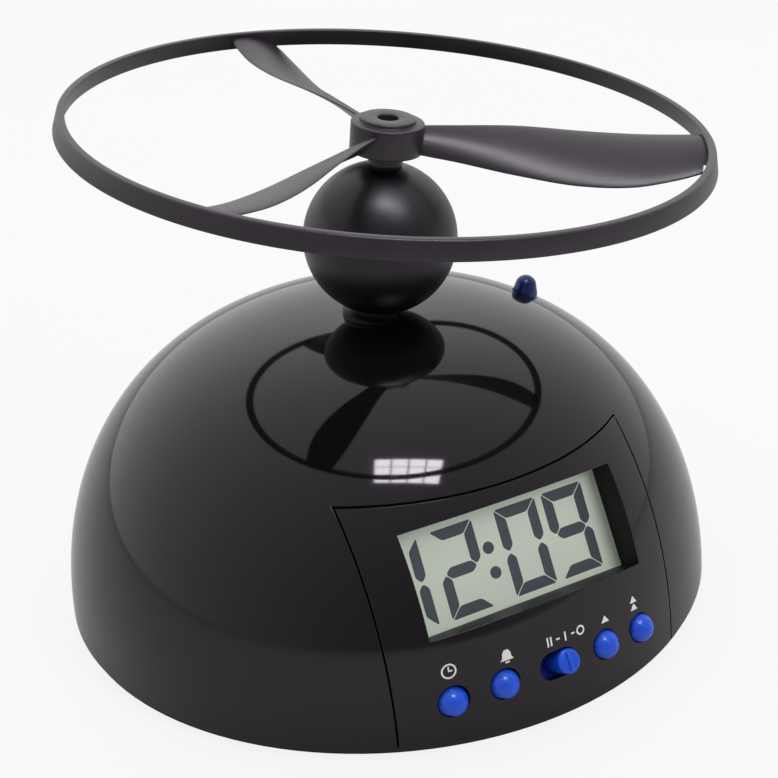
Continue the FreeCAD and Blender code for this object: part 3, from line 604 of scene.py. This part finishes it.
board_front = 50.0
launch_board_top = -8.6
switch_height = 3.0
plunger_height = 0.3
key_travel = 0.5
shaft_clearance = 0.05
key_seat = board_front + switch_height + plunger_height + key_travel + shaft_clearance
launch_seat = launch_board_top + switch_height + plunger_height + key_travel + shaft_clearance
flange = 3.2
flange_thickness = 0.8
key_proud = 0.4
key_rise = 1.8


def flanged_foot(seat):
    """Outline of a button's trapped end, from the axis out to the stem."""
    top = seat + flange_thickness
    return [(0, seat), (flange, seat), (flange, top), (key_radius, top)]


key_blue = blue_gloss("key_blue", (0.008, 0.088, 0.74))
for name, x in key_spots.items():
    shoulder = skin_depth(x, key_row) + key_proud
    outline = flanged_foot(key_seat)
    form = turned(outline + domed(key_radius, shoulder, key_rise, 14), 64)
    form = moved(form, on_face @ Matrix.Translation((x, key_row, 0)))
    piece(name + "_cap", form, key_blue, name + "_button", "button_blue", [name + "_button"])


knob_proud = 1.6
ridge_half = 0.4
ridge_rise = 0.4
ridge_share = 0.74
curtain_low = 57.3
curtain_high = 58.1
curtain_lap = 0.6
curtain_end_lap = 0.2
stem_low = 52.4
stem_half = (1.2, 0.7)


def mode_knob():
    """The round pad with its ridge, the curtain behind the slot and the stem to the switch."""
    top = skin_depth(0, key_row) + knob_proud
    centre = Matrix.Translation((knob_travel / 2, key_row, 0))
    pad = soften(rod(knob_radius, curtain_low, top), 0.65, 5)
    reach = knob_radius * ridge_share
    ridge = soften(slab((-ridge_half, -reach, top - 1), (ridge_half, reach, top + ridge_rise)), 0.25)
    half = knob_travel + knob_radius + hole_ease + curtain_end_lap
    wide = knob_radius + curtain_lap
    curtain = slab((-half, -wide, curtain_low), (half, wide, curtain_high))
    stem = slab((-stem_half[0], -stem_half[1], stem_low), (stem_half[0], stem_half[1], curtain_low + 0.1))
    return moved(carved(pad, [ridge, curtain, stem], "UNION"), on_face @ centre)


piece("mode_slider", mode_knob(), key_blue, "mode_knob", "button_blue", ["mode_knob"])

launch_tip_radius = 2.0
launch_shoulder = 2.7
launch_rise = 1.2
launch_outline = flanged_foot(launch_seat)
launch_outline.append((key_radius, key_proud))
launch_outline += domed(launch_tip_radius, launch_shoulder, launch_rise)
launch_cap = soften(turned(launch_outline, 64), 0.08, 2)
# The launch button is the keys' blue, painted darker here for the shade it sits in under the rotor.
launch_blue_painted_shade = blue_gloss("launch_blue_painted_shade", (0.002, 0.014, 0.125))
piece("launch_cap", moved(launch_cap, on_launch), launch_blue_painted_shade, "launch_button", "button_blue",
      ["launch_button"])


# Marks above the controls: plain white pad-printed signs. They are a clock face, a bell, three switch
# positions and one or two arrowheads. They stand in for the words of the original.

mark_rise = 0.03
thin = 0.26
medium = 0.3
clock_mark = (-20.4, -15.3)
clock_mark_radius = 1.35
bell_mark = (-9.9, -16.0)
bell_half = [(1.3, -0.8), (0.9, -0.3), (0.8, 0.5), (0.4, 1.1)]
clapper_drop = 1.15
switch_row = -16.4
switch_marks = ((-1.3, 2), (2.1, 1), (5.5, 0))
dashes = ((0.1, 0.9), (3.4, 4.2))
arrow_spots = ((11.4, -16.4), (19.1, -16.6), (19.1, -15.2))
arrow = [(-0.95, -0.5), (0.95, -0.5), (0, 0.75)]


def on_skin(form):
    """Lays a flat print, drawn on the sloping face, on the dome's curved skin."""
    for spot in form.verts:
        spot.co.z += skin_depth(spot.co.x, spot.co.y)
    return moved(form, on_face)


def printed_outline(form, corners):
    form.faces.new([form.verts.new((x, y, 0)) for x, y in corners])


def printed_ring(form, x, y, radius, width):
    for size in (radius, radius - width):
        bmesh.ops.create_circle(form, segments=32, radius=size, matrix=Matrix.Translation((x, y, 0)))
    edges = [e for e in form.edges if not e.link_faces]
    bmesh.ops.bridge_loops(form, edges=edges)


def stroke(form, x0, y0, x1, y1, width):
    along = Vector((x1 - x0, y1 - y0))
    side = Vector((-along.y, along.x)).normalized() * width / 2
    printed_outline(form, [(x0 + side.x, y0 + side.y), (x0 - side.x, y0 - side.y),
                           (x1 - side.x, y1 - side.y), (x1 + side.x, y1 + side.y)])


def marks():
    form = bmesh.new()
    x, y = clock_mark
    printed_ring(form, x, y, clock_mark_radius, medium)
    stroke(form, x, y - 0.1, x, y + 0.85, thin)
    stroke(form, x - 0.1, y, x + 0.65, y, thin)
    x, y = bell_mark
    left_side = [(x - across, y + up) for across, up in bell_half]
    right_side = [(x + across, y + up) for across, up in bell_half]
    printed_outline(form, left_side[:1] + right_side + left_side[:0:-1])
    stroke(form, x - 0.4, y - clapper_drop, x + 0.4, y - clapper_drop, medium)
    y = switch_row
    for x, bars in switch_marks:
        for i in range(bars):
            place = x - 0.35 * (bars - 1) + 0.7 * i
            stroke(form, place, y - 0.85, place, y + 0.85, 0.34)
        if not bars:
            printed_ring(form, x, y, 0.9, 0.32)
    for start, end in dashes:
        stroke(form, start, y, end, y, medium)
    for x, y in arrow_spots:
        printed_outline(form, [(x + across, y + up) for across, up in arrow])
    bmesh.ops.triangulate(form, faces=form.faces)
    lifted = bmesh.ops.extrude_face_region(form, geom=form.faces[:])
    upper = [v for v in lifted["geom"] if isinstance(v, bmesh.types.BMVert)]
    bmesh.ops.translate(form, vec=(0, 0, mark_rise), verts=upper)
    bmesh.ops.recalc_face_normals(form, faces=form.faces)
    return on_skin(form)


mark_ink = moulded("mark_ink", (0.80, 0.80, 0.80), 0.5, 4000.0, 0.000004, 0.05)
piece("control_marks", marks(), mark_ink, "clock_body", "dome_gloss")


# Launcher: a hollow satin ball on a short neck, leaning 7.5 degrees towards the front right. Two
# satin mouldings with a fine texture. The spindle runs up through both of them to the drive dog.

ball_radius = 14.9
ball_middle = 15.6
neck_socket_depth = 3.0
bush_hole = 3.1
bush_hole_depth = 3.5
ball_satin = moulded("ball_satin", (0.0032, 0.0024, 0.0031), 0.36, 2400.0, 0.000012, 0.2,
                      Specular_Tint=(1.0, 0.92, 1.04, 1.0))
dress("neck", ball_satin)
dress("drive_dog", ball_satin)


def ball():
    """The ball with the neck's socket below and the bush's hole above."""
    low = math.asin(neck_hole / ball_radius)
    high = math.asin(bush_hole / ball_radius)
    outline = []
    for i in range(65):
        turn = low + (math.pi - high - low) * i / 64
        outline.append((ball_radius * math.sin(turn), ball_middle - ball_radius * math.cos(turn)))
    top = ball_middle + ball_radius * math.cos(high)
    bottom = ball_middle - ball_radius * math.cos(low)
    outline += [(bush_hole, top - bush_hole_depth), (neck_hole, top - bush_hole_depth),
                (neck_hole, bottom + neck_socket_depth)]
    form = turned(outline, 160, True)
    return moved(soften(form, 0.25, 3, 50), on_launcher)


ball_shell = piece("ball_shell", ball(), ball_satin, "clock_body", "ball_black", ["ball"])


# Rotor: hub, three twisted blades and a flared ring, all moulded in one shot of satin black nylon.
# The blades are thin cambered sections that wash out towards the ring.

dog_gap = 0.35
dog_height = 2.3
hub_low = ball_middle + ball_radius + dog_gap + dog_height + shaft_clearance
hub_radius = 6.95
hub_height = 5.6
cap_radius = 5.3
cap_height = 0.8
bore = 1.95
ring_middle = 38.0
ring_height = 3.5
ring_top_radius = 60.65
ring_flare = 0.8
ring_wall = 1.6
blade_heading = -31.0
blade_root = 6.0
blade_tip = 59.85
blade_edge = 0.5
blade_swell = 0.8
blade_camber = 0.07
socket_radius = 3.13
socket_depth = 8.0
socket_drop = 0.3
skirt_lap = 0.2
skirt_reach = 3
skirt_depth = 4
blade_stations = (
    # radius, width across the disc, pitch in degrees, height below the ring's middle
    (6.0, 4.2, 46.0, 2.4),
    (14.0, 6.5, 39.0, 2.6),
    (25.0, 10.5, 31.0, 3.1),
    (36.0, 13.5, 25.0, 3.7),
    (46.0, 14.5, 21.0, 3.4),
    (54.0, 13.4, 18.0, 2.2),
    (59.9, 11.6, 16.0, 0.9),
)


def station(radius):
    """Width, pitch and drop of the blade at a radius, eased smoothly between the stations."""
    rows = blade_stations
    at = max(i for i in range(len(rows) - 1) if rows[i][0] <= radius + 0.001)
    before, first = rows[max(at - 1, 0)], rows[at]
    second, after = rows[at + 1], rows[min(at + 2, len(rows) - 1)]
    share = (radius - first[0]) / (second[0] - first[0])
    values = []
    for k in (1, 2, 3):
        start = (second[k] - before[k]) / (second[0] - before[0]) * (second[0] - first[0])
        end = (after[k] - first[k]) / (after[0] - first[0]) * (second[0] - first[0])
        values.append((2 * share ** 3 - 3 * share ** 2 + 1) * first[k]
                      + (share ** 3 - 2 * share ** 2 + share) * start
                      + (3 * share ** 2 - 2 * share ** 3) * second[k]
                      + (share ** 3 - share ** 2) * end)
    return values


def blade(heading):
    """A flat slab, bent into the blade: twisted, cambered and thinned towards its edges."""
    form = bmesh.new()
    bmesh.ops.create_grid(form, x_segments=72, y_segments=28, size=1.0)
    flat = form.verts[:]
    top = bmesh.ops.extrude_face_region(form, geom=form.faces[:])
    upper = {v for v in top["geom"] if isinstance(v, bmesh.types.BMVert)}
    for spot in flat + list(upper):
        radius = blade_root + (blade_tip - blade_root) * (spot.co.x + 1) / 2
        width, pitch, drop = station(radius)
        turn = math.radians(pitch)
        chord = width / math.cos(turn)
        share = math.sin(math.pi / 2 * spot.co.y)
        thick = (blade_edge + blade_swell * (1 - share ** 2)) * math.sqrt(max(1 - share ** 12, 0.0))
        rise = blade_camber * chord * (1 - share ** 2) + (thick / 2 if spot in upper else -thick / 2)
        along = chord / 2 * share
        spot.co = (radius, along * math.cos(turn) - rise * math.sin(turn),
                   ring_middle - drop + along * math.sin(turn) + rise * math.cos(turn))
    bmesh.ops.remove_doubles(form, verts=form.verts, dist=merge_distance)
    bmesh.ops.recalc_face_normals(form, faces=form.faces)
    return moved(form, Matrix.Rotation(math.radians(heading), 4, "Z"))


def rotor():
    """Hub, blades and ring in one, with the drive's six-sided socket cut into the hub."""
    low = ring_middle - ring_height / 2
    high = ring_middle + ring_height / 2
    ring = turned([(ring_top_radius - ring_wall, high), (ring_top_radius, high),
                   (ring_top_radius + ring_flare, low),
                   (ring_top_radius + ring_flare - ring_wall, low)], around, True)
    soften(ring, 0.35, 4)
    hub_high = hub_low + hub_height
    hub = turned([(bore, hub_low), (hub_radius, hub_low), (hub_radius, hub_high), (cap_radius, hub_high),
                  (cap_radius, hub_high + cap_height), (bore, hub_high + cap_height)], 128, True)
    soften(hub, 0.3, 3)
    blades = [blade(blade_heading + 120 * i) for i in range(3)]
    inside_ring = rod(ring_top_radius - ring_wall / 2, 0, 2 * ring_middle, around)
    blades = [carved(one, [inside_ring.copy()], "INTERSECT") for one in blades]
    inside_ring.free()
    form = carved(hub, blades + [ring], "UNION")
    # The skirt takes off what would stand out below the ring.
    inner, outer = ring_top_radius - ring_wall - skirt_lap, ring_top_radius + skirt_reach
    skirt = turned([(inner, low - skirt_depth), (outer, low - skirt_depth), (outer, low), (inner, low)],
                   around, True)
    socket = bmesh.new()
    bmesh.ops.create_cone(socket, cap_ends=True, segments=6, radius1=socket_radius, radius2=socket_radius,
                          depth=socket_depth, matrix=Matrix.Translation((0, 0, hub_low - socket_drop)))
    return moved(carved(form, [skirt, socket]), on_launcher)


rotor_nylon = moulded("rotor_nylon", (0.018, 0.0145, 0.0195), 0.36, 1800.0, 0.000012, 0.2,
                       Specular_Tint=(1.0, 0.92, 1.0, 1.0))
rotor_moulding = piece("rotor_moulding", rotor(), rotor_nylon, "rotor", "rotor_black", ["rotor"])


# The studio: a pale table and a white surround, lit by soft light from above and in front, as a clock
# on a white sweep is photographed. The surround is darker on the camera's side, so that black gloss
# keeps its depth, and a little darker on the right.

floor_half = 3000.0


def pale_floor():
    """A matt sheet that the camera sees as nearly white, with only a soft shadow on it."""
    material, shader, place = finish("pale_floor", Roughness=0.6)
    place.noise(12.0, 3.0).tint((0.56, 0.56, 0.56), (0.60, 0.60, 0.60)).feed(shader, "Base Color")
    tree = material.node_tree
    rays = Field(tree).node("ShaderNodeLightPath", output="Is Camera Ray")
    glow = Field(tree).node("ShaderNodeEmission", {}, {"Color": (1, 1, 1, 1), "Strength": 1.0})
    surface = Field(tree, shader.outputs[0])
    mixed = Field(tree).node("ShaderNodeMixShader", {}, {0: rays * 0.86, 1: surface, 2: glow})
    tree.links.new(mixed.socket, tree.nodes["Material Output"].inputs["Surface"])
    return material


floor_form = bmesh.new()
bmesh.ops.create_grid(floor_form, x_segments=8, y_segments=8, size=floor_half)
floor = as_object("floor", floor_form, to_metres)
floor.data.materials.append(pale_floor())

world = bpy.data.worlds.new("surround")
scene.world = world
world.use_nodes = True
tree = world.node_tree
where = Field(tree).node("ShaderNodeTexCoord", output="Generated")
up = where.node("ShaderNodeSeparateXYZ", {}, {0: where}, "Z")
back = where.node("ShaderNodeVectorMath", {"operation": "DOT_PRODUCT"},
                  {0: where, 1: (-math.sin(camera_azimuth), math.cos(camera_azimuth), 0.0)}, "Value")
right = where.node("ShaderNodeVectorMath", {"operation": "DOT_PRODUCT"},
                   {0: where, 1: (math.cos(camera_azimuth), math.sin(camera_azimuth), 0.0)}, "Value")
gradient = where.node("ShaderNodeMapRange", {},
                      {"Value": up * 0.08 + back * 0.8 - right * 0.22,
                       "From Min": -0.85, "From Max": 0.75, "To Min": 0.22, "To Max": 1.13})
rays = Field(tree).node("ShaderNodeLightPath", output="Is Camera Ray")
strength = rays + (1.0 - rays) * gradient
tree.links.new(strength.socket, tree.nodes["Background"].inputs["Strength"])
tree.nodes["Background"].inputs["Color"].default_value = (1, 1, 1, 1)


def softbox(name, place, aim, size, energy):
    """A lamp that lights the clock evenly. It doesn't mirror in the gloss unless that is turned on after."""
    lamp = bpy.data.lights.new(name, "AREA")
    lamp.shape = "RECTANGLE"
    lamp.size, lamp.size_y = size
    lamp.energy = energy
    made = bpy.data.objects.new(name, lamp)
    scene.collection.objects.link(made)
    made.location = place
    made.rotation_mode = "QUATERNION"
    made.rotation_quaternion = (Vector(aim) - Vector(place)).to_track_quat("-Z", "Y")
    made.visible_glossy = False
    return made


softbox("overhead_softbox", (0.1, 0.25, 0.95), (0, 0, 0.05), (0.9, 0.7), 4.0)
softbox("front_softbox", (0.25, -0.75, 0.55), (0, 0, 0.06), (0.28, 0.4), 2.4)

# The ball and the rotor alone get a lamp that shows as a soft highlight on their satin.
sheen = softbox("launcher_softbox", (0.18, -0.486, 0.795), (0, 0, 0.08), (0.3, 0.3), 1.6)
sheen.visible_glossy = True
launcher_only = bpy.data.collections.new("launcher_only")
for lit in (ball_shell, rotor_moulding):
    launcher_only.objects.link(lit)
sheen.light_linking.receiver_collection = launcher_only


window_bar = 0.012
window_distance = 1.1
window_size = (0.40, 0.22)
mirror_spot = Vector((-0.0159, -0.0433, 0.0472))


def pane_window():
    """The room's window, high in front: it shows only as a small bright mirror image in the gloss."""
    form = bmesh.new()
    bmesh.ops.create_grid(form, x_segments=4, y_segments=3, size=0.5)
    bmesh.ops.inset_individual(form, faces=form.faces[:], thickness=window_bar, use_even_offset=True)
    bars = [f for f in form.faces if f.calc_area() < 0.03]
    bmesh.ops.delete(form, geom=bars, context="FACES")
    towards = Vector((0.0, -0.318, 0.948)).normalized()
    turn = towards.to_track_quat("Z", "Y").to_matrix().to_4x4()
    place = mirror_spot + towards * window_distance
    form = moved(form, Matrix.Translation(place) @ turn @ Matrix.Rotation(math.radians(-30.0), 4, "Z")
                 @ Matrix.Diagonal((*window_size, 1.0, 1.0)))
    made = as_object("pane_window", form)
    material = bpy.data.materials.new("daylight")
    material.use_nodes = True
    tree = material.node_tree
    daylight = {"Color": (0.95, 1.0, 1.0, 1.0), "Strength": 20.0}
    glow = Field(tree).node("ShaderNodeEmission", {}, daylight)
    tree.links.new(glow.socket, tree.nodes["Material Output"].inputs["Surface"])
    made.data.materials.append(material)
    made.visible_camera = False
    made.visible_diffuse = False
    made.visible_shadow = False


pane_window()
